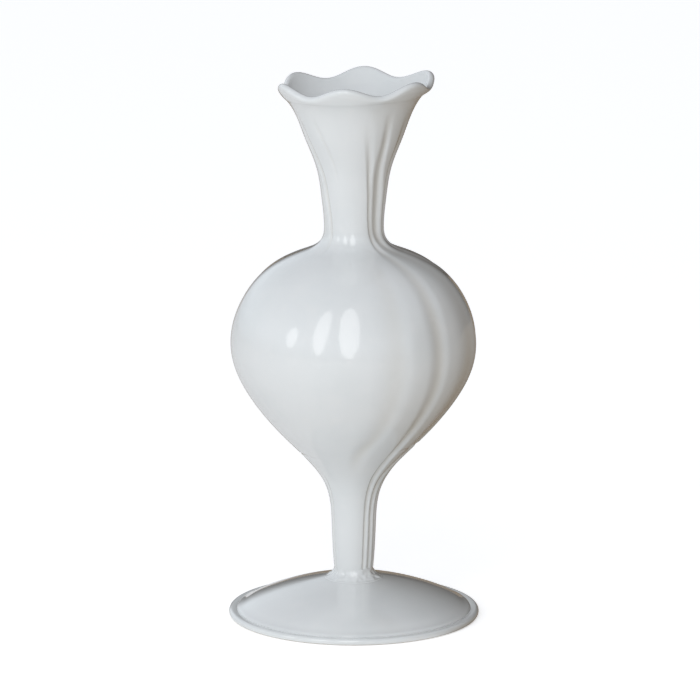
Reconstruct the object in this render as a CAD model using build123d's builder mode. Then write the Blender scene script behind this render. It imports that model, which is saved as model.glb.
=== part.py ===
from build123d import *
from math import cos, pi, radians, sin
import os

os.makedirs("parts", exist_ok=True)

# A footed bud vase in white glaze: a ribbed bulb on a slim stem and a round foot,
# with a flared neck and a ruffled lip. Its origin is the centre of the resting
# ring on the ground, +Z is up, and all sizes are in millimetres.

# Heights of the joints, from the ground up
crown_height = 15.4  # flat seat on the foot, under the collar
stem_bottom = 20.0  # top of the collar, where the ribbed stem starts
bulb_bottom = 56.0
bulb_top = 152.0
lip_bottom = 213.0  # crease under the lip
total_height = 220.0

# Foot and its rolled edge
foot_radius = 50.8
edge_thickness = 2.9
edge_inner_radius = 47.4
edge_flat_radius = 49.5  # the flat resting face reaches this far out
groove_depth = 0.5
crown_radius = 12.0
slope_middle = (30.0, 10.0)  # radius and height half way down the foot's top
foot_clearance = 0.3  # the disc stays this far above the ground
hollow_radius = 46.0
hollow_middle = (31.5, 6.0)  # radius and height half way up the foot's underside
roof_height = 10.4
roof_radius = 16.0
tenon_floor = 12.4  # bottom of the socket in the crown

# Stem, bulb, neck and lip
collar_top_radius = 8.2
collar_waist = (9.6, 17.2)  # radius and height where the collar's side is hollowest
stem_tenon_radius = 6.5
stem_bore_radius = 5.0
stem_floor = 26.0
stem_funnel = 2.0  # the bore opens out over this height at its top
spigot_radius = 8.0  # top of the stem, set into the bulb
spigot_wall = 0.8  # what is left of the spigot's rim round the funnel
spigot_depth = 4.0
bulb_radius = 49.0
neck_spigot_radius = 10.5
throat_radius = 8.5
throat_top = 168.0
crease_radius = 28.0
lip_wall = 3.0

# Ribs and ruffles
rib_count = 16
points_per_rib = 4
ruffle_count = 6
ruffle_turn = radians(22)  # one peak of the lip is turned this far from +X
lip_sections = 36
ruffle_rise = 1.9
ruffle_reach = 1.1
edge_mid_radius = 28.8  # middle of the lip's round edge, between peak and valley

# Outer outlines: height, radius on the ribs, and depth of the valleys between ribs
stem_outline = [
    (stem_bottom, collar_top_radius, 0.6),
    (25, 8.3, 0.7),
    (34, 8.7, 0.7),
    (44, 9.2, 0.7),
    (51, 10.3, 0.8),
    (bulb_bottom, 12.0, 0.9),
]
bulb_outline = [
    (bulb_bottom, 12.0, 0.9),
    (60, 14.6, 1.1),
    (66, 20.1, 1.3),
    (76, 29.4, 1.3),
    (86, 38.1, 1.2),
    (95, 44.0, 1.1),
    (104, 47.8, 1.1),
    (114, bulb_radius, 1.1),
    (124, 47.2, 1.1),
    (133, 43.1, 1.1),
    (141, 36.5, 1.1),
    (147, 25.9, 1.1),
    (150, 19.4, 1.0),
    (bulb_top, 14.8, 0.8),
]
neck_outline = [
    (bulb_top, 14.8, 0.8),
    (154, 12.7, 0.8),
    (158, 12.1, 0.8),
    (166, 12.3, 0.9),
    (176, 13.3, 1.0),
    (186, 15.3, 1.1),
    (194, 18.3, 1.1),
    (202, 22.0, 0.7),
    (207, 24.0, 0.2),
    (210, 25.4, 0.0),
    (lip_bottom, crease_radius, 0.0),
]

# Inner outlines: radius and height of the points that the hollow's wall passes
bulb_hollow = [
    (spigot_radius, bulb_bottom + spigot_depth),
    (13.5, 65),
    (24.0, 76.5),
    (36.0, 90),
    (43.1, 102),
    (45.3, 114),
    (42.8, 126),
    (35.4, 137),
    (24.5, 143.6),
    (neck_spigot_radius, bulb_top - spigot_depth),
]
neck_hollow = [
    (throat_radius, throat_top),
    (10.3, 180),
    (14.4, 194),
    (18.9, 203),
    (22.1, 209.5),
    (crease_radius - lip_wall, lip_bottom),
]


def ribbed_ring(radius, depth):
    """Points round one closed ring: the wave dips by depth in the valley between two ribs."""
    ring = []
    for step in range(points_per_rib * rib_count):
        turn = 2 * pi * step / (points_per_rib * rib_count)
        reach = radius - depth * (1 + cos(rib_count * turn)) / 2
        ring.append((reach * cos(turn), reach * sin(turn)))
    return ring


def ribbed_sections(outline):
    """One closed section for each height of an outline."""
    sections = []
    for height, radius, depth in outline:
        with BuildSketch(Plane.XY.offset(height)) as section:
            with BuildLine():
                Spline(*ribbed_ring(radius, depth), periodic=True)
            make_face()
        sections.append(section.sketch.face())
    return sections


def radial_plane(turn):
    """The upright half plane through the axis, with its x outward and its y up."""
    return Plane(origin=(0, 0, 0), x_dir=(cos(turn), sin(turn), 0), z_dir=(sin(turn), -cos(turn), 0))


def lip_section(turn):
    """The lip's wall at one turn from a peak: it leans out to a fat round edge."""
    wave = cos(ruffle_count * turn)
    edge_radius = lip_wall / 2
    edge = Vector(edge_mid_radius + ruffle_reach * wave, total_height - edge_radius - ruffle_rise * (1 - wave))
    foot_middle = Vector(crease_radius - edge_radius, lip_bottom)
    along = (edge - foot_middle).normalized()
    across = Vector(along.Y, -along.X) * edge_radius
    with BuildSketch(radial_plane(turn + ruffle_turn)) as wall:
        with BuildLine():
            inner = (crease_radius - lip_wall, lip_bottom)
            outer = (crease_radius, lip_bottom)
            Line(inner, outer)
            Spline(outer, edge + across, tangents=[(0.7, 0.7), along])
            ThreePointArc(edge + across, edge + along * edge_radius, edge - across)
            Line(edge - across, inner)
        make_face()
    return wall.sketch.face()


# Foot: a shallow hollow cone with a flat crown and a socket for the stem
with BuildPart() as foot:
    with BuildSketch(Plane.XZ):
        with BuildLine():
            rim_top = (edge_inner_radius, edge_thickness)
            crown_edge = (crown_radius, crown_height)
            Line((0, roof_height), (0, crown_height))
            Line((0, crown_height), crown_edge)
            rim_bottom = (edge_inner_radius, foot_clearance)
            hollow_edge = (hollow_radius, foot_clearance)
            ThreePointArc(crown_edge, slope_middle, rim_top)
            Line(rim_top, rim_bottom)
            Line(rim_bottom, hollow_edge)
            ThreePointArc(hollow_edge, hollow_middle, (roof_radius, roof_height))
            Line((roof_radius, roof_height), (0, roof_height))
        make_face()
    revolve(axis=Axis.Z)
    with BuildSketch(Plane.XY.offset(crown_height)):
        Circle(stem_tenon_radius)
    extrude(amount=tenon_floor - crown_height, mode=Mode.SUBTRACT)
foot.part.label = "foot"
export_step(foot.part, "parts/foot.step")


# Foot edge: a rolled coil round the disc, flat underneath, that carries the vase
with BuildPart() as foot_edge:
    with BuildSketch(Plane.XZ):
        with BuildLine():
            bottom_outside = (edge_flat_radius, 0)
            top_of_roll = (edge_flat_radius, edge_thickness)
            groove = (edge_inner_radius, edge_thickness - groove_depth)
            Line((edge_inner_radius, 0), bottom_outside)
            ThreePointArc(bottom_outside, (foot_radius, edge_thickness / 2), top_of_roll)
            Spline(top_of_roll, groove, tangents=[(-1, 0), (-1, -0.2)])
            Line(groove, (edge_inner_radius, 0))
        make_face()
    revolve(axis=Axis.Z)
foot_edge.part.label = "foot_edge"
export_step(foot_edge.part, "parts/foot_edge.step")


# Collar: the wad of clay pressed round the stem's tenon, spreading on to the crown
with BuildPart() as stem_collar:
    with BuildSketch(Plane.XZ):
        with BuildLine():
            inner_bottom = (stem_tenon_radius, crown_height)
            outer_bottom = (crown_radius, crown_height)
            outer_top = (collar_top_radius, stem_bottom)
            inner_top = (stem_tenon_radius, stem_bottom)
            Line(inner_bottom, outer_bottom)
            Spline(outer_bottom, collar_waist, outer_top, tangents=[(-1, 0.5), (0, 1)])
            Line(outer_top, inner_top)
            Line(inner_top, inner_bottom)
        make_face()
    revolve(axis=Axis.Z)
stem_collar.part.label = "stem_collar"
export_step(stem_collar.part, "parts/stem_collar.step")


# Stem: ribbed outside and bored inside, with a tenon below and a spigot above
with BuildPart() as stem:
    loft(sections=ribbed_sections(stem_outline))
    with BuildSketch(Plane.XY.offset(tenon_floor)):
        Circle(stem_tenon_radius)
    extrude(amount=stem_bottom - tenon_floor)
    with BuildSketch(Plane.XY.offset(bulb_bottom)):
        Circle(spigot_radius)
    extrude(amount=spigot_depth)
    with BuildSketch(Plane.XZ):
        with BuildLine():
            bore_top = bulb_bottom + spigot_depth
            bore_end = (stem_bore_radius, stem_floor + stem_bore_radius)
            funnel_start = (stem_bore_radius, bore_top - stem_funnel)
            funnel_end = (spigot_radius - spigot_wall, bore_top)
            Line((0, bore_top), (0, stem_floor))
            RadiusArc((0, stem_floor), bore_end, -stem_bore_radius)
            Line(bore_end, funnel_start)
            Line(funnel_start, funnel_end)
            Line(funnel_end, (0, bore_top))
        make_face()
    revolve(axis=Axis.Z, mode=Mode.SUBTRACT)
stem.part.label = "stem"
export_step(stem.part, "parts/stem.step")


# Bulb: a hollow onion shape with a socket at each end for the stem and the neck
with BuildPart() as bulb:
    loft(sections=ribbed_sections(bulb_outline))
    with BuildSketch(Plane.XZ):
        with BuildLine():
            hollow_wall = Spline(*bulb_hollow)
            socket_top = (neck_spigot_radius, bulb_top)
            socket_bottom = (spigot_radius, bulb_bottom)
            Line(hollow_wall @ 1, socket_top)
            Line(socket_top, (0, bulb_top))
            Line((0, bulb_top), (0, bulb_bottom))
            Line((0, bulb_bottom), socket_bottom)
            Line(socket_bottom, hollow_wall @ 0)
        make_face()
    revolve(axis=Axis.Z, mode=Mode.SUBTRACT)
bulb.part.label = "bulb"
export_step(bulb.part, "parts/bulb.step")


# Neck: a ribbed trumpet with a straight throat and a spigot that enters the bulb
with BuildPart() as trumpet_neck:
    loft(sections=ribbed_sections(neck_outline))
    with BuildSketch(Plane.XY.offset(bulb_top)):
        Circle(neck_spigot_radius)
    extrude(amount=-spigot_depth)
    with BuildSketch(Plane.XZ):
        with BuildLine():
            throat_bottom = bulb_top - spigot_depth
            flare_wall = Spline(*neck_hollow, tangents=[(0, 1), (0.8, 1)])
            Line((0, throat_bottom), (throat_radius, throat_bottom))
            Line((throat_radius, throat_bottom), flare_wall @ 0)
            Line(flare_wall @ 1, (0, lip_bottom))
            Line((0, lip_bottom), (0, throat_bottom))
        make_face()
    revolve(axis=Axis.Z, mode=Mode.SUBTRACT)
trumpet_neck.part.label = "trumpet_neck"
export_step(trumpet_neck.part, "parts/trumpet_neck.step")


# Lip: a ruffled band that leans out from the crease, lofted all the way round the mouth
lip_walls = [lip_section(2 * pi * step / lip_sections) for step in range(lip_sections)]
with BuildPart() as mouth_lip:
    loft(sections=lip_walls + lip_walls[:1])
mouth_lip.part.label = "mouth_lip"
export_step(mouth_lip.part, "parts/mouth_lip.step")
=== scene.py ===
import math
import bpy
import numpy as np
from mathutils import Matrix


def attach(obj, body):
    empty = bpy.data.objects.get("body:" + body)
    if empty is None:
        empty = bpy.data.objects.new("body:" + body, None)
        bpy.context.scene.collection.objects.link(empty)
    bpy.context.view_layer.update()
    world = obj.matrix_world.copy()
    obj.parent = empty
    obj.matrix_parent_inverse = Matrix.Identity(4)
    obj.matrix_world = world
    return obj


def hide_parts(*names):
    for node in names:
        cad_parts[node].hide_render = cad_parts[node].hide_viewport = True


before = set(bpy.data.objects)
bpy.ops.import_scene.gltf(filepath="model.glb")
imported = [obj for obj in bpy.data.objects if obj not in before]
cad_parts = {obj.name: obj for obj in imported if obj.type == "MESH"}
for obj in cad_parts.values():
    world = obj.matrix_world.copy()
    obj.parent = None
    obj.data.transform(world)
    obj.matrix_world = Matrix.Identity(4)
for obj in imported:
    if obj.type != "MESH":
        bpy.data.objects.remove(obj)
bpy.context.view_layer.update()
mm = 0.001
print("frame loaded:", len(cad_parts), "sections")


# one socket of a node tree; adding, multiplying and so on make Math nodes
class Value:
    def __init__(self, tree, socket):
        self.tree = tree
        self.socket = socket

    def math(self, operation, *others):
        node = self.tree.nodes.new("ShaderNodeMath")
        node.operation = operation
        for entry, other in zip(node.inputs, (self,) + others):
            plug(self.tree, entry, other)
        return Value(self.tree, node.outputs[0])

    def __add__(self, other):
        return self.math("ADD", other)

    __radd__ = __add__

    def __mul__(self, other):
        return self.math("MULTIPLY", other)

    __rmul__ = __mul__

    def __sub__(self, other):
        return self.math("SUBTRACT", other)

    def __rsub__(self, other):
        return self.math("MULTIPLY", -1.0).math("ADD", other)

    def __truediv__(self, other):
        return self.math("DIVIDE", other)

    def __rtruediv__(self, other):
        return self.math("POWER", -1.0).math("MULTIPLY", other)

    def __neg__(self):
        return self.math("MULTIPLY", -1.0)

    def clamped(self):
        return self.math("MAXIMUM", 0.0).math("MINIMUM", 1.0)

    def ramp(self, low, high):
        # 0 below low, 1 above high, smooth between
        t = ((self - low) / (high - low)).clamped()
        return t * t * (3.0 - 2.0 * t)


def plug(tree, entry, value):
    if isinstance(value, Value):
        tree.links.new(value.socket, entry)
    elif value is not None:
        entry.default_value = value


# makes any other node: its settings first, then the values or links of its sockets
class Nodes:
    def __init__(self, tree):
        self.tree = tree

    def make(self, kind, settings=None, sockets=None, out=0):
        node = self.tree.nodes.new(kind)
        for key, setting in (settings or {}).items():
            setattr(node, key, setting)
        for key, value in (sockets or {}).items():
            plug(self.tree, self.entry(node.inputs, key), value)
        if out is None:
            return node
        return Value(self.tree, self.entry(node.outputs, out))

    def mixed(self, amount, first, second):
        # two colours mixed; a plain triple of numbers is a colour too
        node = self.make("ShaderNodeMix", {"data_type": "RGBA"}, out=None)
        for key, value in ((0, amount), (6, first), (7, second)):
            plug(self.tree, node.inputs[key], value + (1.0,) if isinstance(value, tuple) else value)
        return Value(self.tree, node.outputs[2])

    def entry(self, sockets, key):
        if isinstance(key, int):
            return sockets[key]
        return next(s for s in sockets if s.name == key and not s.is_unavailable)


def cubicThrough(points, startSlope, endSlope, stepLength):
    # a smooth curve through listed points, with its direction given at both ends
    points = np.array(points, dtype=float)
    spans = np.linalg.norm(np.diff(points, axis=0), axis=1)
    count = len(points)
    matrix = np.zeros((count, count))
    right = np.zeros((count, 2))
    matrix[0, 0] = matrix[-1, -1] = 1.0
    right[0] = np.array(startSlope) / np.linalg.norm(startSlope)
    right[-1] = np.array(endSlope) / np.linalg.norm(endSlope)
    for i in range(1, count - 1):
        before, after = spans[i - 1], spans[i]
        matrix[i, i - 1:i + 2] = after, 2 * (before + after), before
        came, goes = points[i] - points[i - 1], points[i + 1] - points[i]
        right[i] = 3 * (came * after / before + goes * before / after)
    slopes = np.linalg.solve(matrix, right)
    made = []
    for i in range(count - 1):
        steps = max(2, int(math.ceil(spans[i] / stepLength)))
        for t in np.arange(steps) / steps:
            here, leaving = 2 * t ** 3 - 3 * t ** 2 + 1, t ** 3 - 2 * t ** 2 + t
            there, arriving = 3 * t ** 2 - 2 * t ** 3, t ** 3 - t ** 2
            made.append(here * points[i] + leaving * spans[i] * slopes[i]
                        + there * points[i + 1] + arriving * spans[i] * slopes[i + 1])
    made.append(points[-1])
    return np.array(made)


jointStep = 2.0  # millimetres between points on the plain faces of a joint


def straightThrough(points, stepLength=jointStep):
    # straight runs between corners, divided evenly
    made = []
    for a, b in zip(points[:-1], points[1:]):
        a, b = np.array(a, dtype=float), np.array(b, dtype=float)
        steps = max(1, int(math.ceil(np.linalg.norm(b - a) / stepLength)))
        made.extend(a + (b - a) * t for t in np.arange(steps) / steps)
    made.append(np.array(points[-1], dtype=float))
    return np.array(made)


# heights of the joints between the pieces, in millimetres
joints = {
    "crown": 15.4,
    "stemBottom": 20.0,
    "bulbBottom": 56.0,
    "bulbTop": 152.0,
    "crease": 213.0,
}

# Valleys pressed between the ribs. Each has its own line up the wall: height, turn from the
# front in degrees (towards +X), depth in millimetres, and how many degrees its left and right
# sides take to fall and rise. They were pressed by hand, so the ones near the front all differ.
frontValleys = [
    # sharp on its left in the neck, and deepest where it swings right under the bulb
    [(20, 28, 0.6, 6, 10), (38, 30, 0.8, 6, 10), (50, 32, 0.9, 6, 10), (60, 34, 1.1, 6, 9),
     (66, 37, 1.4, 5, 6), (72, 39.5, 1.5, 5, 6), (80, 41, 1.25, 6, 6), (90, 42.5, 0.95, 7, 6),
     (100, 43.5, 0.9, 7.5, 6), (120, 44, 0.9, 7.5, 6.5), (138, 44.5, 0.65, 9, 9),
     (146, 44, 0.45, 9, 10), (151, 42, 0.45, 9, 10), (154, 38, 0.6, 6, 10), (158, 33, 0.75, 5, 10),
     (165, 29.5, 0.8, 4.5, 10), (175, 27.5, 0.75, 4.5, 10), (185, 24, 0.6, 6, 9),
     (197, 17, 0.25, 7, 9), (206, 14, 0, 7, 9)],
    # wide in the neck and narrow again in the flare
    [(20, 50, 0.6, 12, 8), (45, 51, 0.8, 12, 8), (58, 53, 0.8, 10, 8), (66, 60, 0.8, 9, 8),
     (75, 66, 0.7, 12, 8), (90, 69, 0.6, 15, 10), (120, 71, 0.5, 16, 11), (140, 71, 0.2, 13, 10),
     (149, 66, 0.2, 12, 9), (154, 57, 0.7, 18, 13), (158, 51, 1.25, 23, 14), (166, 50, 1.4, 23, 14),
     (176, 48, 1.4, 22, 13), (185, 44, 1.2, 15, 9), (195, 41, 1.0, 9, 7), (203, 38, 0.5, 7, 7),
     (209, 36, 0, 7, 7)],
    # close to the right-hand side
    [(20, 70, 0.4, 8, 11), (45, 69, 0.6, 8, 11), (66, 78, 0.8, 9, 11), (90, 88, 0.7, 9, 11),
     (140, 90, 0.3, 9, 11), (151, 84, 0.3, 9, 11), (158, 79, 0.8, 10, 11), (165, 76, 0.9, 10, 11),
     (190, 72, 0.9, 10, 11), (207, 66, 0, 9, 11)],
    # soft, from the middle of the bulb's underside up its right half
    [(61, 0, 0, 14, 14), (68, 1.5, 0.4, 13, 14), (72, 5, 0.65, 12, 12), (76, 10, 0.7, 12, 11),
     (80, 14.5, 0.6, 12, 10), (90, 18.6, 0.5, 12, 10), (100, 20, 0.5, 13, 10), (140, 21, 0.35, 13, 10),
     (150, 20, 0, 13, 10)],
    # left side of the neck and the stem
    [(20, -66, 0.4, 6, 5), (45, -64, 0.5, 6, 5), (55, -60, 0.3, 6, 5), (60, -55, 0, 6, 5),
     (152, -45, 0, 6, 5), (155, -47, 0.5, 7, 6), (165, -51, 0.8, 7, 6), (180, -57, 0.8, 8, 6),
     (195, -67, 0.7, 8, 6), (207, -72, 0, 8, 6)],
    # faint, only in the flare
    [(180, -26, 0, 5, 4), (188, -30, 0.25, 5, 4), (200, -40, 0.25, 5, 4), (207, -44, 0, 5, 4)],
]
backValleys = {
    "turns": [106.0, 128.0, 151.0, 173.0, 196.0, 218.0, 241.0, 263.0],
    "shares": [0.9, 0.85, 1.0, 0.8, 0.95, 0.85, 0.7, 0.45],
    "left": 9.0,
    "right": 11.0,
    "drift": 5.0,  # degrees that a valley wanders from its line
    "driftHeights": [20, 60, 114, 152, 211],
    "height": [20, 30, 48, 58, 66, 78, 95, 114, 132, 145, 152, 158, 172, 186, 198, 206, 211],
    "depth": [0.4, 0.7, 0.8, 1.1, 1.4, 1.3, 1.0, 0.9, 1.0, 1.2, 1.1, 1.1, 1.2, 1.2, 0.9, 0.4, 0.0],
    "seed": 5,
}

wall = {
    "roundSteps": 288,
    "wobble": 0.2,  # millimetres that a hand-made wall strays
    "wobbleSize": 38.0,
    "lumpSize": 5.0,  # only the collar is lumpy, and it gives its own
    "detail": 1.0,
    "seed": 7.0,
    "wobbleSeed": 4.0,  # added to the seed
    "lumpSeed": 9.0,
    "fullShadeDepth": 0.8,  # a valley this deep has its full painted shade
    "easing": 2.5,  # millimetres up and down that the corners of a valley are rounded over
    "easingSteps": 7,
    "samePoint": 0.002,  # points of an outline closer than this are one
    "weld": 0.004,
    "axisRadius": 0.01,  # points nearer the axis than this stay on it
}

# the line left under the bulb where its two halves were smoothed together; the front was rubbed away
fold = {
    "height": 70.5,
    "tilt": 2.5,
    "tiltTurn": 110.0,
    "width": 1.1,
    "depth": 0.42,
    "openFrom": 0.79,  # cosine of the turn where the line begins on either side of the front
    "openOver": 0.25,
}

rim = {
    "ruffles": 6.0,
    "ruffleTurn": -8.0,  # degrees from the front to the nearest peak
    "reach": 1.1,
    "rise": 1.9,
    "lean": 1.8,  # degrees that the mouth is tipped up towards +X
    "leanFrom": 180.0,
    "pulledTurn": 106.0,  # one ruffle was pulled out further than the rest
    "pulledWidth": 62.0,
    "pulledReach": 2.0,
}


def valleyLines():
    # every valley as heights, turns and depths, with the ones at the back from a rule
    rng = np.random.default_rng(backValleys["seed"])
    lines = [np.array(line, dtype=float).T for line in frontValleys]
    heights = np.array(backValleys["height"], dtype=float)
    for turn, share in zip(backValleys["turns"], backValleys["shares"]):
        wandered = rng.uniform(-1, 1, len(backValleys["driftHeights"])) * backValleys["drift"]
        drift = np.interp(heights, backValleys["driftHeights"], wandered)
        depth = np.array(backValleys["depth"]) * share
        sides = np.ones_like(heights)
        left, right = sides * backValleys["left"], sides * backValleys["right"]
        lines.append((heights, turn + drift, depth, left, right))
    return lines


valleys = valleyLines()


def eased(heights, keys, values):
    # the value at each height, with the corners of the line rounded off
    shifts = np.linspace(-wall["easing"], wall["easing"], wall["easingSteps"])
    return np.mean([np.interp(heights + shift, keys, values) for shift in shifts], axis=0)


def outlineMesh(name, runs):
    # runs of the wall's cross-section, each with its own share of ribs, ruffle and wobble
    places, shares = [], []
    for run in runs:
        ruffles = run.get("ruffle", np.zeros(len(run["line"])))
        lumps = run.get("lump", np.zeros(len(run["line"])))
        for i, (r, z) in enumerate(run["line"]):
            share = [run.get("ribs", 0.0), ruffles[i], run.get("wobble", 1.0), run.get("inside", 0.0),
                     lumps[i], run.get("fold", 0.0), float(i == 0 and run.get("sharp", True))]
            if places and math.dist((r * mm, 0.0, z * mm), places[-1]) < wall["samePoint"] * mm:
                shares[-1] = np.maximum(shares[-1], share)
            else:
                places.append((r * mm, 0.0, z * mm))
                shares.append(np.array(share))
    if math.dist(places[0], places[-1]) < wall["samePoint"] * mm:
        shares[0] = shares[-1] = np.maximum(shares[0], shares[-1])
    ribbed, ruffle, wobble, inside, lump, fold, corner = np.array(shares).T
    mesh = bpy.data.meshes.new(name)
    mesh.from_pydata(places, [(i, i + 1) for i in range(len(places) - 1)], [])
    layers = {"ruffle": ruffle, "wobbleShare": wobble, "insideShare": inside, "lump": lump,
              "fold": fold, "corner": corner}
    heights = np.array(places)[:, 2] / mm
    for number, (keys, turns, depths, lefts, rights) in enumerate(valleys):
        layers[f"valleyTurn{number}"] = np.radians(eased(heights, keys, turns))
        layers[f"valleyDepth{number}"] = eased(heights, keys, depths) * mm * ribbed
        layers[f"valleyLeft{number}"] = np.radians(eased(heights, keys, lefts))
        layers[f"valleyRight{number}"] = np.radians(eased(heights, keys, rights))
    for key, values in layers.items():
        layer = mesh.attributes.new(key, "FLOAT", "POINT")
        layer.data.foreach_set("value", np.array(values, dtype=np.float32))
    return mesh


# inputs of the tree that turns an outline into a ribbed, ruffled wall
treeInputs = {
    "Round Steps": ("NodeSocketInt", wall["roundSteps"]),
    "Ruffle Count": ("NodeSocketFloat", rim["ruffles"]),
    "Ruffle Turn": ("NodeSocketFloat", math.radians(rim["ruffleTurn"])),
    "Ruffle Reach": ("NodeSocketFloat", rim["reach"] * mm),
    "Ruffle Rise": ("NodeSocketFloat", rim["rise"] * mm),
    "Pulled Turn": ("NodeSocketFloat", math.radians(rim["pulledTurn"])),
    "Pulled Width": ("NodeSocketFloat", math.radians(rim["pulledWidth"])),
    "Pulled Reach": ("NodeSocketFloat", rim["pulledReach"] * mm),
    "Lean": ("NodeSocketFloat", math.tan(math.radians(rim["lean"]))),
    "Lean From": ("NodeSocketFloat", rim["leanFrom"] * mm),
    "Lean To": ("NodeSocketFloat", joints["crease"] * mm),
    "Wobble": ("NodeSocketFloat", wall["wobble"] * mm),
    "Wobble Size": ("NodeSocketFloat", wall["wobbleSize"] * mm),
    "Lump Depth": ("NodeSocketFloat", 0.0),
    "Lump Size": ("NodeSocketFloat", wall["lumpSize"] * mm),
    "Fold Height": ("NodeSocketFloat", fold["height"] * mm),
    "Fold Tilt": ("NodeSocketFloat", fold["tilt"] * mm),
    "Fold Turn": ("NodeSocketFloat", math.radians(fold["tiltTurn"])),
    "Fold Width": ("NodeSocketFloat", fold["width"] * mm),
    "Fold Depth": ("NodeSocketFloat", fold["depth"] * mm),
    "Seed": ("NodeSocketFloat", wall["seed"]),
    "Glaze": ("NodeSocketMaterial", None),
}


def turnedWallTree():
    tree = bpy.data.node_groups.new("turnedWall", "GeometryNodeTree")
    tree.interface.new_socket(name="Geometry", in_out="INPUT", socket_type="NodeSocketGeometry")
    tree.interface.new_socket(name="Geometry", in_out="OUTPUT", socket_type="NodeSocketGeometry")
    for name, (kind, value) in treeInputs.items():
        socket = tree.interface.new_socket(name=name, in_out="INPUT", socket_type=kind)
        if value is not None:
            socket.default_value = value
    nodes = Nodes(tree)
    group = nodes.make("NodeGroupInput", out=None)
    given = {socket.name: Value(tree, socket) for socket in group.outputs if socket.name}
    outline = given["Geometry"]
    steps = given["Round Steps"]
    size = nodes.make("GeometryNodeAttributeDomainSize", {"component": "MESH"}, {"Geometry": outline},
                      out="Point Count")
    columns = steps + 1.0
    grid = nodes.make("GeometryNodeMeshGrid", sockets={"Vertices X": size, "Vertices Y": columns}, out="Mesh")
    index = nodes.make("GeometryNodeInputIndex")
    row = (index / columns).math("FLOOR")
    column = index - row * columns

    def sampled(kind, field):
        return nodes.make("GeometryNodeSampleIndex", {"data_type": kind, "domain": "POINT"},
                          {"Geometry": outline, "Value": field, "Index": row})

    def stored(name):
        field = nodes.make("GeometryNodeInputNamedAttribute", {"data_type": "FLOAT"}, {"Name": name})
        return sampled("FLOAT", field)

    place = sampled("FLOAT_VECTOR", nodes.make("GeometryNodeInputPosition"))
    split = nodes.make("ShaderNodeSeparateXYZ", sockets={0: place}, out=None)
    radius, height = Value(tree, split.outputs[0]), Value(tree, split.outputs[2])
    turn = column / steps * (2 * math.pi)
    across, along = turn.math("SINE"), -turn.math("COSINE")

    # a point on the plain wall, for everything that wanders from place to place
    plain = nodes.make("ShaderNodeCombineXYZ", sockets={0: radius * across, 1: radius * along, 2: height})

    def wander(sizeValue, extra):
        noise = nodes.make("ShaderNodeTexNoise", {"noise_dimensions": "4D"},
                           {"Vector": plain, "W": given["Seed"] + extra, "Scale": 1.0 / sizeValue,
                            "Detail": wall["detail"]})
        return (noise - 0.5) * 2.0

    # each valley falls on its left and comes back on its right, at its own pace
    depth, valleyShadeMask = None, None
    for number in range(len(valleys)):
        away = (turn - stored(f"valleyTurn{number}")).math("WRAP", math.pi, -math.pi)
        rise, fall = away / stored(f"valleyRight{number}"), -away / stored(f"valleyLeft{number}")
        side = rise.math("MAXIMUM", fall)
        lobe = (side.clamped() * math.pi).math("COSINE") * 0.5 + 0.5
        pressed = lobe * stored(f"valleyDepth{number}")
        depth = pressed if depth is None else depth + pressed
        valleyShadeMask = lobe if valleyShadeMask is None else valleyShadeMask.math("MAXIMUM", lobe)
    # painted shade: how much of the darker, warmer valley colour each point gets, fullest in the deepest
    # valleys
    valleyShadeMask = valleyShadeMask * (depth / (wall["fullShadeDepth"] * mm)).clamped()

    # the smoothed-over line under the bulb
    foldHeight = given["Fold Height"] + (turn - given["Fold Turn"]).math("COSINE") * given["Fold Tilt"]
    foldAway = ((height - foldHeight) / given["Fold Width"]).math("ABSOLUTE").clamped()
    foldLobe = (foldAway * math.pi).math("COSINE") * 0.5 + 0.5
    foldShare = ((fold["openFrom"] - turn.math("COSINE")) / fold["openOver"]).clamped() * stored("fold")
    depth = depth + foldLobe * foldShare * given["Fold Depth"]

    # ruffle round the mouth, and the mouth's lean
    ruffle = stored("ruffle")
    fromPulled = (turn - given["Pulled Turn"]).math("WRAP", math.pi, -math.pi).math("ABSOLUTE")
    pull = ((fromPulled / given["Pulled Width"]).clamped() * math.pi).math("COSINE") * 0.5 + 0.5
    wave = (given["Ruffle Count"] * (turn - given["Ruffle Turn"])).math("COSINE")
    wobble = wander(given["Wobble Size"], wall["wobbleSeed"]) * given["Wobble"] * stored("wobbleShare")
    wobble = wobble + wander(given["Lump Size"], wall["lumpSeed"]) * given["Lump Depth"] * stored("lump")
    reach = wave * given["Ruffle Reach"] + pull * given["Pulled Reach"]
    newRadius = radius - depth + ruffle * reach + wobble
    newRadius = newRadius * radius.math("GREATER_THAN", wall["axisRadius"] * mm)
    leaning = ((height - given["Lean From"]) / (given["Lean To"] - given["Lean From"])).clamped()
    lean = leaning * leaning * given["Lean"] * newRadius * across
    newHeight = height + ruffle * wave * given["Ruffle Rise"] + lean

    moved = nodes.make("ShaderNodeCombineXYZ",
                       sockets={0: newRadius * across, 1: newRadius * along, 2: newHeight})
    turned = nodes.make("GeometryNodeSetPosition", sockets={"Geometry": grid, "Position": moved})
    # the valleys' painted shade is stored on the mesh for the glaze
    kept = {"paintedValleyShade": valleyShadeMask, "inside": stored("insideShare"), "sharpRow": stored("corner")}
    for name, value in kept.items():
        turned = nodes.make("GeometryNodeStoreNamedAttribute", {"data_type": "FLOAT", "domain": "POINT"},
                            {"Geometry": turned, "Name": name, "Value": value})
    turned = nodes.make("GeometryNodeMergeByDistance",
                        sockets={"Geometry": turned, "Distance": wall["weld"] * mm})
    turned = nodes.make("GeometryNodeRealizeInstances", sockets={"Geometry": turned})
    turned = nodes.make("GeometryNodeSetMaterial", sockets={"Geometry": turned, "Material": given["Glaze"]})
    end = nodes.make("NodeGroupOutput", out=None)
    plug(tree, end.inputs[0], turned)
    return tree


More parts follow.
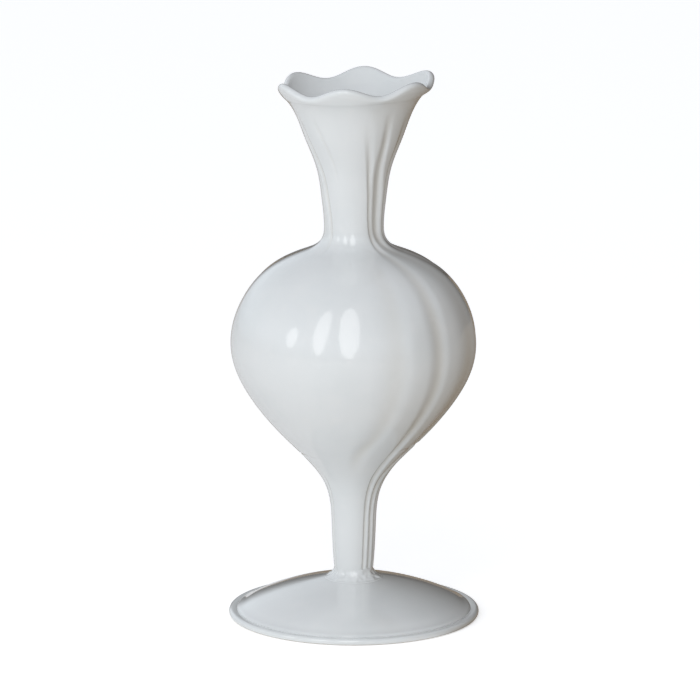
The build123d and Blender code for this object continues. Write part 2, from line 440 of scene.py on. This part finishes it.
def turnWall(name, runs, material, changes=None):
    # runs the tree on one outline and keeps the plain mesh
    source = bpy.data.objects.new(name + "_outline", outlineMesh(name + "_outline", runs))
    bpy.context.scene.collection.objects.link(source)
    modifier = source.modifiers.new("turned", "NODES")
    settings = dict(changes or {}, Glaze=material)
    items = wallTree.interface.items_tree
    identifiers = {item.name: item.identifier for item in items if item.in_out == "INPUT"}
    modifier.node_group = wallTree
    for key, value in settings.items():
        modifier[identifiers[key]] = value
    bpy.context.view_layer.update()
    evaluated = source.evaluated_get(bpy.context.evaluated_depsgraph_get())
    mesh = bpy.data.meshes.new_from_object(evaluated)
    bpy.data.objects.remove(source)
    mesh.name = name
    piece = bpy.data.objects.new(name, mesh)
    bpy.context.scene.collection.objects.link(piece)
    finishMesh(mesh)
    print("turned", name, len(mesh.vertices), "points")
    return piece


def finishMesh(mesh):
    # smooth shading everywhere but along the rows where the cross-section turns a corner
    mesh.polygons.foreach_set("use_smooth", np.ones(len(mesh.polygons), dtype=bool))
    sharpPoint = np.zeros(len(mesh.vertices), dtype=np.float32)
    mesh.attributes["sharpRow"].data.foreach_get("value", sharpPoint)
    ends = np.zeros(len(mesh.edges) * 2, dtype=np.int32)
    mesh.edges.foreach_get("vertices", ends)
    sharp = sharpPoint[ends.reshape(-1, 2)].min(axis=1) > 0.5
    layer = mesh.attributes.get("sharp_edge") or mesh.attributes.new("sharp_edge", "BOOLEAN", "EDGE")
    layer.data.foreach_set("value", sharp)
    mesh.attributes.remove(mesh.attributes["sharpRow"])
    mesh.update()


seam = {
    "reach": 0.0011,  # metres above and below the joint
    "grid": 0.000004,  # corners closer than this are the same place
    "outerShare": 0.8,  # further out than this share of the widest corner
    "flattest": 0.97,  # the flat faces of the joint keep their own normals
}


def shareSeamNormals(pieces, height):
    # the glaze runs over a joint without a break, so both sides of it get the same normals
    found = []
    for piece in pieces:
        mesh = piece.data
        corners = np.zeros(len(mesh.loops), dtype=np.int32)
        mesh.loops.foreach_get("vertex_index", corners)
        places = np.zeros(len(mesh.vertices) * 3)
        mesh.vertices.foreach_get("co", places)
        normals = np.zeros(len(mesh.loops) * 3, dtype=np.float32)
        mesh.corner_normals.foreach_get("vector", normals)
        found.append((mesh, places.reshape(-1, 3)[corners], normals.reshape(-1, 3)))
    level = [np.abs(places[:, 2] - height * mm) < seam["reach"] for mesh, places, normals in found]
    reach = [np.hypot(places[:, 0], places[:, 1]) for mesh, places, normals in found]
    outer = max(r[near].max() for r, near in zip(reach, level))
    keys, values, spots = [], [], []
    for (mesh, places, normals), r, near in zip(found, reach, level):
        near = near & (r > outer * seam["outerShare"]) & (np.abs(normals[:, 2]) < seam["flattest"])
        chosen = np.nonzero(near)[0]
        keys.append(np.round(places[chosen] / seam["grid"]).astype(np.int64))
        values.append(normals[chosen])
        spots.append(chosen)
    allKeys, inverse = np.unique(np.concatenate(keys), axis=0, return_inverse=True)
    inverse = inverse.reshape(-1)
    total = np.zeros((len(allKeys), 3))
    np.add.at(total, inverse, np.concatenate(values))
    total /= np.linalg.norm(total, axis=1)[:, None]
    start = 0
    for (mesh, places, normals), chosen in zip(found, spots):
        normals[chosen] = total[inverse[start:start + len(chosen)]]
        start += len(chosen)
        mesh.normals_split_custom_set(normals)


# the glaze and the bare clay
glazeLook = {
    "white": (0.80, 0.815, 0.81),
    "cloudy": (0.70, 0.735, 0.735),
    "cloudSize": 24.0,  # millimetres, as are all the sizes here
    "cloudDetail": 3.0,
    "cloudRange": (0.35, 0.75),
    "cloudShare": 0.35,
    "valleyShade": (0.71, 0.68, 0.61),  # painted warm shade for the valleys, not a colour of the glaze
    "valleyShadeBase": 0.6,
    "valleyShadeCloud": 0.5,
    "valleyShadeShare": 0.55,
    "thin": (0.83, 0.83, 0.815),
    "thinSize": 7.0,
    "thinRange": (0.5, 0.8),
    "thinShare": 0.3,
    "speck": (0.16, 0.13, 0.11),
    "speckSpacing": 15.0,
    "speckRadius": 0.24,
    "speckEdge": (0.6, 1.4),  # shares of its radius between which a speck fades
    "speckPicked": 0.06,
    "speckShare": 0.8,
    "speckPit": 0.02,
    "gloss": 0.13,
    "glossSize": 16.0,
    "glossSpread": 0.05,
    "coatGloss": 0.035,
    "glassiness": 1.5,
    "ripple": 0.045,
    "rippleSize": 11.0,
    "peel": 0.0035,
    "peelSize": 1.1,
    "insideRough": 0.3,
    "insideCoatLost": 0.85,
}
bareLook = {
    "clay": (0.62, 0.57, 0.50),
    "dark": 0.8,  # the darker grains, as a share of the clay
    "wander": 0.35,  # how far the wiped line strays, and over what size
    "wanderSize": 3.0,
    "edge": (-0.1, 0.15),  # the glaze comes in between these heights round the wiped line
    "grit": 0.05,
    "gritSize": 0.35,
    "gritDetail": 4.0,
    "gritRange": (0.35, 0.7),
    "rough": 0.6,
}


def glazeMaterial(name, look, paintsValleyShade=True, bareBelow=None):
    material = bpy.data.materials.new(name)
    material.use_nodes = True
    tree = material.node_tree
    tree.nodes.clear()
    nodes = Nodes(tree)
    place = nodes.make("ShaderNodeTexCoord", out="Object")

    def noise(size, detail=2.0):
        return nodes.make("ShaderNodeTexNoise",
                          sockets={"Vector": place, "Scale": 1.0 / (size * mm), "Detail": detail})

    cloud = noise(look["cloudSize"], look["cloudDetail"])
    color = nodes.mixed(cloud.ramp(*look["cloudRange"]) * look["cloudShare"], look["white"], look["cloudy"])
    # painted shade: points in the valleys get a darker, warmer colour, patchy with the clouds
    if paintsValleyShade:
        valleyShadeMask = nodes.make("ShaderNodeAttribute", {"attribute_name": "paintedValleyShade"}, out="Fac")
        valleyShade = (valleyShadeMask * (look["valleyShadeBase"] + cloud * look["valleyShadeCloud"])).clamped()
        color = nodes.mixed(valleyShade * look["valleyShadeShare"], color, look["valleyShade"])
    thin = noise(look["thinSize"]).ramp(*look["thinRange"])
    color = nodes.mixed(thin * look["thinShare"], color, look["thin"])

    # fired-in specks, a few in every hand's breadth
    cells = nodes.make("ShaderNodeTexVoronoi", out=None,
                       sockets={"Vector": place, "Scale": 1.0 / (look["speckSpacing"] * mm)})
    distance, cellColor = Value(tree, cells.outputs["Distance"]), Value(tree, cells.outputs["Color"])
    cellShare = nodes.make("ShaderNodeSeparateColor", sockets={0: cellColor})
    picked = cellShare.math("LESS_THAN", look["speckPicked"])
    edges = [look["speckRadius"] * share for share in look["speckEdge"]]
    speck = picked * (1.0 - (distance * look["speckSpacing"]).ramp(*edges))
    color = nodes.mixed(speck * look["speckShare"], color, look["speck"])

    inside = nodes.make("ShaderNodeAttribute", {"attribute_name": "inside"}, out="Fac")
    rough = look["gloss"] + noise(look["glossSize"]) * look["glossSpread"] + inside * look["insideRough"]
    ripple = noise(look["rippleSize"], 1.0) * look["ripple"]
    height = ripple + noise(look["peelSize"], 1.0) * look["peel"]
    height = height - speck * look["speckPit"]
    coat = 1.0 - inside * look["insideCoatLost"]
    if bareBelow is not None:
        # the resting face is wiped clean of glaze before firing
        up = nodes.make("ShaderNodeSeparateXYZ", sockets={0: place}, out=2) / mm
        edge = up + (noise(bareLook["wanderSize"]) - 0.5) * bareLook["wander"]
        low, high = bareLook["edge"]
        bare = 1.0 - edge.ramp(bareBelow + low, bareBelow + high)
        grit = noise(bareLook["gritSize"], bareLook["gritDetail"])
        darkClay = tuple(c * bareLook["dark"] for c in bareLook["clay"])
        clay = nodes.mixed(grit.ramp(*bareLook["gritRange"]), bareLook["clay"], darkClay)
        color = nodes.mixed(bare, color, clay)
        rough = rough + bare * bareLook["rough"]
        height = height + bare * grit * bareLook["grit"]
        coat = coat * (1.0 - bare)
    bump = nodes.make("ShaderNodeBump", sockets={"Strength": 1.0, "Distance": mm, "Height": height})
    shader = nodes.make("ShaderNodeBsdfPrincipled", sockets={
        "Base Color": color, "Roughness": rough, "Metallic": 0.0, "IOR": look["glassiness"],
        "Coat Weight": coat, "Coat Roughness": look["coatGloss"], "Coat IOR": look["glassiness"],
        "Normal": bump})
    end = nodes.make("ShaderNodeOutputMaterial", out=None)
    plug(tree, end.inputs["Surface"], shader)
    return material


whiteGlaze = glazeMaterial("white_glaze", glazeLook)
footGlaze = glazeMaterial("foot_glaze", glazeLook, paintsValleyShade=False)
edgeGlaze = glazeMaterial("foot_edge_glaze", glazeLook, paintsValleyShade=False, bareBelow=0.35)
wallTree = turnedWallTree()
print("glazes mixed")


# the outside from the collar to the crease is one smooth line through these three outlines
stem = {
    "outline": [(8.0, 20.0), (9.0, 38.0), (10.5, 51.0), (12.5, 56.0)],
    "startSlope": (0.1, 1.0),
    "boreRadius": 5.0,
    "boreFloor": 26.0,
    "tenonRadius": 6.5,
    "tenonFloor": 12.4,
    "spigotRadius": 8.0,
    "spigotTop": 60.0,
    "funnelRadius": 7.2,
    "funnelFrom": 58.0,
    "boreStep": 3.0,
    "domePoints": 7,
}
bulb = {
    "outline": [(12.5, 56.0), (17.5, 63.0), (28.0, 74.0), (42.0, 91.0), (49.0, 107.0), (49.5, 114.0),
                (45.0, 130.0), (35.5, 142.0), (20.5, 150.0), (16.0, 152.0)],
    "hollow": [(8.0, 60.0), (13.5, 65.0), (24.0, 76.5), (36.0, 90.0), (43.1, 102.0), (45.3, 114.0),
               (42.8, 126.0), (35.4, 137.0), (24.5, 143.6), (10.5, 148.0)],
    "hollowSlopes": [(0.6, 0.8), (-0.9, 0.2)],
    "hollowStep": 2.5,
}
neck = {
    "outline": [(16.0, 152.0), (13.0, 155.0), (12.0, 161.0), (13.0, 172.0), (15.0, 184.0), (19.5, 196.0),
                (25.5, 210.0), (28.0, 213.0)],
    "endSlope": (0.75, 0.66),
    "throatRadius": 8.5,
    "throatTop": 168.0,
    "hollow": [(8.5, 168.0), (10.3, 180.0), (14.4, 194.0), (18.9, 203.0), (22.1, 209.5), (25.0, 213.0)],
    "hollowSlopes": [(0.0, 1.0), (0.7, 0.7)],
    "hollowStep": 1.2,
    "spigotRadius": 10.5,
    "spigotBottom": 148.0,
}
wallStep = 0.7  # millimetres between the points of the outside


def sideLine():
    points = stem["outline"] + bulb["outline"][1:] + neck["outline"][1:]
    return cubicThrough(points, stem["startSlope"], neck["endSlope"], wallStep)


def between(line, low, high):
    slack = 1e-6
    return line[(line[:, 1] >= low - slack) & (line[:, 1] <= high + slack)]


outside = sideLine()


def makeNeck():
    outer = between(outside, joints["bulbTop"], joints["crease"])[::-1]
    inner = cubicThrough(neck["hollow"], *neck["hollowSlopes"], neck["hollowStep"])
    shelf = [(outer[-1][0], joints["bulbTop"]), (neck["spigotRadius"], joints["bulbTop"])]
    spigot = [shelf[1], (neck["spigotRadius"], neck["spigotBottom"])]
    under = [spigot[1], (neck["throatRadius"], neck["spigotBottom"])]
    throat = [under[1], (neck["throatRadius"], neck["throatTop"])]
    rimFace = [tuple(inner[-1]), tuple(outer[0])]
    return turnWall("trumpet_neck_glazed", [
        {"line": outer, "ribs": 1.0},
        {"line": straightThrough(shelf)},
        {"line": straightThrough(spigot), "wobble": 0.0},
        {"line": straightThrough(under), "wobble": 0.0},
        {"line": straightThrough(throat), "wobble": 0.0},
        {"line": inner, "inside": 1.0, "sharp": False},
        {"line": straightThrough(rimFace)},
    ], whiteGlaze)


def makeBulb():
    outer = between(outside, joints["bulbBottom"], joints["bulbTop"])[::-1]
    inner = cubicThrough(bulb["hollow"], *bulb["hollowSlopes"], bulb["hollowStep"])
    floorFace = [tuple(outer[-1]), (stem["spigotRadius"], joints["bulbBottom"])]
    lowSocket = [floorFace[1], (stem["spigotRadius"], stem["spigotTop"])]
    highSocket = [(neck["spigotRadius"], neck["spigotBottom"]), (neck["spigotRadius"], joints["bulbTop"])]
    topFace = [highSocket[1], tuple(outer[0])]
    return turnWall("bulb_glazed", [
        {"line": outer, "ribs": 1.0, "fold": 1.0},
        {"line": straightThrough(floorFace)},
        {"line": straightThrough(lowSocket), "wobble": 0.0},
        {"line": inner, "wobble": 0.0},
        {"line": straightThrough(highSocket), "wobble": 0.0},
        {"line": straightThrough(topFace)},
    ], whiteGlaze)


def makeStem():
    outer = between(outside, joints["stemBottom"], joints["bulbBottom"])[::-1]
    boreEnd = stem["boreFloor"] + stem["boreRadius"]
    dome = [(stem["boreRadius"] * math.sin(a), boreEnd - stem["boreRadius"] * math.cos(a))
            for a in np.linspace(0.0, math.pi / 2, stem["domePoints"])]
    bore = [dome[-1], (stem["boreRadius"], stem["funnelFrom"]), (stem["funnelRadius"], stem["spigotTop"]),
            (stem["spigotRadius"], stem["spigotTop"])]
    spigot = [bore[-1], (stem["spigotRadius"], joints["bulbBottom"])]
    shelf = [spigot[1], tuple(outer[0])]
    lowShelf = [tuple(outer[-1]), (stem["tenonRadius"], joints["stemBottom"])]
    tenon = [lowShelf[1], (stem["tenonRadius"], stem["tenonFloor"])]
    bottom = [tenon[1], (0.0, stem["tenonFloor"])]
    return turnWall("stem_glazed", [
        {"line": np.array(dome), "wobble": 0.0},
        {"line": straightThrough(bore, stem["boreStep"]), "wobble": 0.0, "sharp": False},
        {"line": straightThrough(spigot), "wobble": 0.0},
        {"line": straightThrough(shelf)},
        {"line": outer, "ribs": 1.0},
        {"line": straightThrough(lowShelf)},
        {"line": straightThrough(tenon), "wobble": 0.0},
        {"line": straightThrough(bottom), "wobble": 0.0},
    ], whiteGlaze)


# a fat ruffled band that leans out over the crease
lip = {
    "baseRadius": 28.0,
    "wall": 3.0,
    "edgeRadius": 1.5,
    "edgeMiddle": (28.8, 216.6),  # middle of the round edge, half way between peak and valley
    "edgeSteps": 14,
    "edgeTurn": (150, -35),  # degrees, from its inner side over the top to its outer side
    "outerMiddle": (29.2, 214.4),
    "outerSlopes": [(-0.35, -1.0), (-0.75, -0.66)],
    "outerStep": 0.35,
    "innerMiddle": (26.2, 214.9),
    "innerSlopes": [(0.55, 0.8), (0.5, 1.0)],
    "innerStep": 0.5,
    "baseStep": 1.5,
}


def makeLip():
    cx, cz = lip["edgeMiddle"]
    rad = lip["edgeRadius"]
    start, stop = (math.radians(turn) for turn in lip["edgeTurn"])
    angles = np.linspace(start, stop, lip["edgeSteps"])
    edge = np.array([(cx + rad * math.cos(a), cz + rad * math.sin(a)) for a in angles])
    outer = cubicThrough([tuple(edge[-1]), lip["outerMiddle"], (lip["baseRadius"], joints["crease"])],
                         *lip["outerSlopes"], lip["outerStep"])
    innerFoot = (lip["baseRadius"] - lip["wall"], joints["crease"])
    inner = cubicThrough([innerFoot, lip["innerMiddle"], tuple(edge[0])],
                         *lip["innerSlopes"], lip["innerStep"])
    base = [tuple(outer[-1]), tuple(inner[0])]

    def shares(line):
        return np.clip((line[:, 1] - joints["crease"]) / (cz - joints["crease"]), 0.0, 1.0)

    return turnWall("mouth_lip_glazed", [
        {"line": edge, "ruffle": shares(edge), "sharp": False},
        {"line": outer, "ruffle": shares(outer), "sharp": False},
        {"line": straightThrough(base, lip["baseStep"])},
        {"line": inner, "ruffle": shares(inner), "inside": 1.0},
    ], whiteGlaze)


collar = {
    "outline": [(7.9, 20.0), (7.95, 19.0), (8.35, 17.9), (9.2, 17.0), (10.3, 16.25), (11.3, 15.7),
                (12.0, 15.4)],
    "innerRadius": 6.5,
    "lumps": 1.3,
    "lumpSize": 3.0,
    "slopes": [(0.1, -1.0), (0.5, -1.0)],
    "step": 0.35,
    "jointStep": 1.5,
}
foot = {
    "crownRadius": 12.0,
    "slope": [(12.0, 15.4), (20.0, 13.35), (30.0, 10.5), (38.0, 7.6), (43.0, 5.35), (46.0, 3.8),
              (47.4, 2.85)],
    "rimBottom": 0.3,
    "hollow": [(46.0, 0.3), (39.0, 3.1), (31.5, 6.0), (23.0, 8.6), (16.0, 10.4)],
    "slopeEnds": [(1.0, -0.26), (0.3, -1.0)],
    "slopeStep": 0.6,
    "hollowSlopes": [(-1.0, 0.4), (-1.0, 0.22)],
    "wobble": 0.5,  # share of the wall's wobble
}
footEdge = {
    "innerRadius": 47.4,
    "flatRadius": 49.5,
    "outerRadius": 50.8,
    "thickness": 2.7,
    "grooveHeight": 2.5,
    "rollPoints": 15,
    "shoulder": (48.1, 2.63),
    "shoulderSlopes": [(1.0, 0.35), (1.0, 0.0)],
    "shoulderStep": 0.3,
    "flatStep": 1.0,
}


def makeCollar():
    outer = cubicThrough(collar["outline"], *collar["slopes"], collar["step"])
    bottom = [tuple(outer[-1]), (collar["innerRadius"], joints["crown"])]
    inside = [bottom[1], (collar["innerRadius"], joints["stemBottom"])]
    top = [inside[1], tuple(outer[0])]
    return turnWall("stem_collar_glazed", [
        {"line": outer, "lump": np.sin(np.linspace(0.0, math.pi, len(outer)))},
        {"line": straightThrough(bottom, collar["jointStep"]), "wobble": 0.0},
        {"line": straightThrough(inside, collar["jointStep"]), "wobble": 0.0},
        {"line": straightThrough(top, collar["jointStep"]), "wobble": 0.0},
    ], whiteGlaze, {"Lump Depth": collar["lumps"] * mm, "Lump Size": collar["lumpSize"] * mm})


def makeFoot():
    slope = cubicThrough(foot["slope"], *foot["slopeEnds"], foot["slopeStep"])
    side = [tuple(slope[-1]), (footEdge["innerRadius"], foot["rimBottom"]), foot["hollow"][0]]
    hollow = cubicThrough(foot["hollow"], *foot["hollowSlopes"], jointStep)
    roof = [tuple(hollow[-1]), (0.0, hollow[-1][1])]
    socket = [(0.0, stem["tenonFloor"]), (stem["tenonRadius"], stem["tenonFloor"]),
              (stem["tenonRadius"], joints["crown"]), (foot["crownRadius"], joints["crown"])]
    return turnWall("foot_glazed", [
        {"line": straightThrough(socket[:2]), "wobble": 0.0, "sharp": False},
        {"line": straightThrough(socket[1:3]), "wobble": 0.0},
        {"line": straightThrough(socket[2:]), "wobble": 0.0},
        {"line": slope, "wobble": foot["wobble"], "sharp": False},
        {"line": straightThrough(side), "wobble": 0.0},
        {"line": hollow, "wobble": foot["wobble"], "sharp": False},
        {"line": straightThrough(roof), "wobble": 0.0, "sharp": False},
    ], footGlaze)


def makeFootEdge():
    half = footEdge["thickness"] / 2
    reach = footEdge["outerRadius"] - footEdge["flatRadius"]
    roll = [(footEdge["flatRadius"] + reach * math.cos(a), half + half * math.sin(a))
            for a in np.linspace(math.pi / 2, -math.pi / 2, footEdge["rollPoints"])]
    groove = (footEdge["innerRadius"], footEdge["grooveHeight"])
    shoulder = cubicThrough([groove, footEdge["shoulder"], roll[0]],
                            *footEdge["shoulderSlopes"], footEdge["shoulderStep"])
    flat = [roll[-1], (footEdge["innerRadius"], 0.0)]
    inside = [flat[1], groove]
    return turnWall("foot_edge_glazed", [
        {"line": shoulder, "wobble": 0.0},
        {"line": np.array(roll), "wobble": 0.0, "sharp": False},
        {"line": straightThrough(flat, footEdge["flatStep"]), "wobble": 0.0, "sharp": False},
        {"line": straightThrough(inside, footEdge["flatStep"]), "wobble": 0.0},
    ], edgeGlaze)


pieces = {
    "mouth_lip": makeLip(),
    "trumpet_neck": makeNeck(),
    "bulb": makeBulb(),
    "stem": makeStem(),
    "stem_collar": makeCollar(),
    "foot": makeFoot(),
    "foot_edge": makeFootEdge(),
}
shareSeamNormals([pieces["mouth_lip"], pieces["trumpet_neck"]], joints["crease"])
shareSeamNormals([pieces["trumpet_neck"], pieces["bulb"]], joints["bulbTop"])
shareSeamNormals([pieces["bulb"], pieces["stem"]], joints["bulbBottom"])
shareSeamNormals([pieces["stem"], pieces["stem_collar"]], joints["stemBottom"])
for node, piece in pieces.items():
    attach(piece, "root")
    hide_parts(node)
print("vase put together")


studio = {
    "floorRadius": 6.0,
    "floorSides": 96,
    "paper": 0.93,
    "paperGlow": 0.5,  # lifts the paper towards white without lighting the vase
    "bounceLeft": (0.93, 0.92, 0.90),
    "bounceRight": (0.34, 0.27, 0.19),
    "bounceGlow": 0.14,
    "roomLeft": (0.90, 0.96, 1.02),
    "roomRight": (0.10, 0.055, 0.015),
    "roomBehind": (0.035, 0.022, 0.01),
    "roomTop": (0.52, 0.535, 0.575),
    "roomLow": (0.70, 0.735, 0.77),
    "roomStrength": 0.97,
    "lowTo": (0.0, 0.25),  # heights, as directions, between which one shade gives way to the next
    "topFrom": (0.2, 0.8),
    "ground": (-0.02, -0.08),
}

# the room is bright in front and on the left, and these bound its dark right and back,
# as directions to the right and away from the camera
dark = {
    "right": (0.58, 0.95),
    "rightBehind": [(0.05, 0.5), (-0.1, 0.4)],
    "behind": (0.93, 0.995),
    "behindRight": [(0.3, 0.9), (-0.3, 0.2)],
    "overhead": (0.3, 0.8),
    "overheadLost": 0.7,  # share of the dark right that is lost high up
}


def darkSides(sideways, away):
    # the shares of the dark right and of the dark back, for the floor and the room alike
    across, along = dark["rightBehind"]
    right = sideways.ramp(*dark["right"]).math("MAXIMUM", sideways.ramp(*across) * away.ramp(*along))
    along, across = dark["behindRight"]
    behind = away.ramp(*dark["behind"]).math("MAXIMUM", away.ramp(*along) * sideways.ramp(*across))
    return right, behind


def makeFloor():
    mesh = bpy.data.meshes.new("studio_floor")
    steps, radius = studio["floorSides"], studio["floorRadius"]
    ring = [(radius * math.cos(2 * math.pi * i / steps), radius * math.sin(2 * math.pi * i / steps), 0.0)
            for i in range(steps)]
    mesh.from_pydata(ring, [], [tuple(range(steps))])
    floor = bpy.data.objects.new("studio_floor", mesh)
    bpy.context.scene.collection.objects.link(floor)
    material = bpy.data.materials.new("floor_paper")
    material.use_nodes = True
    tree = material.node_tree
    tree.nodes.clear()
    nodes = Nodes(tree)
    paper = nodes.make("ShaderNodeBsdfDiffuse", sockets={"Color": (studio["paper"],) * 3 + (1.0,)})
    glow = nodes.make("ShaderNodeEmission",
                      sockets={"Color": (1.0, 1.0, 1.0, 1.0), "Strength": studio["paperGlow"]})
    bright = nodes.make("ShaderNodeAddShader", sockets={0: paper, 1: glow})
    place = nodes.make("ShaderNodeTexCoord", out="Object")
    outwards = nodes.make("ShaderNodeVectorMath", {"operation": "NORMALIZE"}, {0: place})
    split = nodes.make("ShaderNodeSeparateXYZ", sockets={0: outwards}, out=None)
    right, behind = darkSides(Value(tree, split.outputs[0]), Value(tree, split.outputs[1]))
    shade = nodes.mixed(right.math("MAXIMUM", behind), studio["bounceLeft"], studio["bounceRight"])
    dull = nodes.make("ShaderNodeBsdfDiffuse", sockets={"Color": shade})
    faint = nodes.make("ShaderNodeEmission", sockets={"Color": shade, "Strength": studio["bounceGlow"]})
    dull = nodes.make("ShaderNodeAddShader", sockets={0: dull, 1: faint})
    seen = nodes.make("ShaderNodeLightPath", out="Is Camera Ray")
    both = nodes.make("ShaderNodeMixShader", sockets={0: seen, 1: dull, 2: bright})
    end = nodes.make("ShaderNodeOutputMaterial", out=None)
    plug(tree, end.inputs["Surface"], both)
    mesh.materials.append(material)


def makeRoom():
    world = bpy.data.worlds.new("studio_room")
    world.use_nodes = True
    bpy.context.scene.world = world
    tree = world.node_tree
    tree.nodes.clear()
    nodes = Nodes(tree)
    direction = nodes.make("ShaderNodeTexCoord", out="Generated")
    split = nodes.make("ShaderNodeSeparateXYZ", sockets={0: direction}, out=None)
    sideways, away, upward = (Value(tree, split.outputs[i]) for i in range(3))

    right, behind = darkSides(sideways, away)
    right = right * (1.0 - upward.ramp(*dark["overhead"]) * dark["overheadLost"])
    color = nodes.mixed(upward.ramp(*studio["lowTo"]), studio["roomLow"], studio["roomLeft"])
    color = nodes.mixed(upward.ramp(*studio["topFrom"]), color, studio["roomTop"])
    color = nodes.mixed(right, color, studio["roomRight"])
    color = nodes.mixed(behind, color, studio["roomBehind"])
    color = nodes.mixed(upward.ramp(*studio["ground"]), color, (0.0, 0.0, 0.0))
    room = nodes.make("ShaderNodeBackground", sockets={"Color": color, "Strength": studio["roomStrength"]})
    plain = nodes.make("ShaderNodeBackground", sockets={"Color": (1.0, 1.0, 1.0, 1.0), "Strength": 1.0})
    seen = nodes.make("ShaderNodeLightPath", out="Is Camera Ray")
    both = nodes.make("ShaderNodeMixShader", sockets={0: seen, 1: room, 2: plain})
    end = nodes.make("ShaderNodeOutputWorld", out=None)
    plug(tree, end.inputs["Surface"], both)


# soft lights: turn from the front and rise in degrees, then metres and watts
windows = {
    "window_front": {"turn": -4.5, "rise": 29.0, "width": 0.43, "height": 1.45, "power": 2.75},
    "window_left": {"turn": -33.5, "rise": 27.0, "width": 0.30, "height": 1.2, "power": 1.5},
    "window_far_left": {"turn": -62.0, "rise": 17.0, "width": 0.24, "height": 0.50, "power": 0.45},
}
windowDistance = 1.3
windowAim = 0.11  # height of the middle of the vase


def makeWindow(name, window):
    # a tall soft light that faces the vase from its own direction
    light = bpy.data.lights.new(name, "AREA")
    light.shape = "ELLIPSE"
    light.size, light.size_y = window["width"], window["height"]
    light.energy = window["power"]
    lamp = bpy.data.objects.new(name, light)
    bpy.context.scene.collection.objects.link(lamp)
    turn, rise = math.radians(window["turn"]), math.radians(window["rise"])
    back = (math.sin(turn) * math.cos(rise), -math.cos(turn) * math.cos(rise), math.sin(rise))
    lamp.location = [c * windowDistance for c in back]
    lamp.location.z += windowAim
    lamp.rotation_euler = (math.radians(90) - rise, 0.0, turn)
    lamp.visible_camera = False


camera = {
    "lens": 244.9,
    "sensor": 36.0,
    "distance": 1.915,
    "pitch": 12.0,
    "aimX": -0.00153,
    "aimZ": 0.1093,
    "clip": (0.05, 50.0),
}


def makeCamera():
    data = bpy.data.cameras.new("camera")
    data.sensor_width = camera["sensor"]
    data.lens = camera["lens"]
    pitch = math.radians(camera["pitch"])
    cam = bpy.data.objects.new("camera", data)
    back, up = camera["distance"] * math.cos(pitch), camera["distance"] * math.sin(pitch)
    cam.location = (camera["aimX"], -back, camera["aimZ"] + up)
    cam.rotation_euler = (math.radians(90) - pitch, 0.0, 0.0)
    data.clip_start, data.clip_end = camera["clip"]
    bpy.context.scene.collection.objects.link(cam)
    bpy.context.scene.camera = cam


makeFloor()
makeRoom()
for name, window in windows.items():
    makeWindow(name, window)
makeCamera()
bpy.context.scene.view_settings.view_transform = "Standard"

print("studio ready")
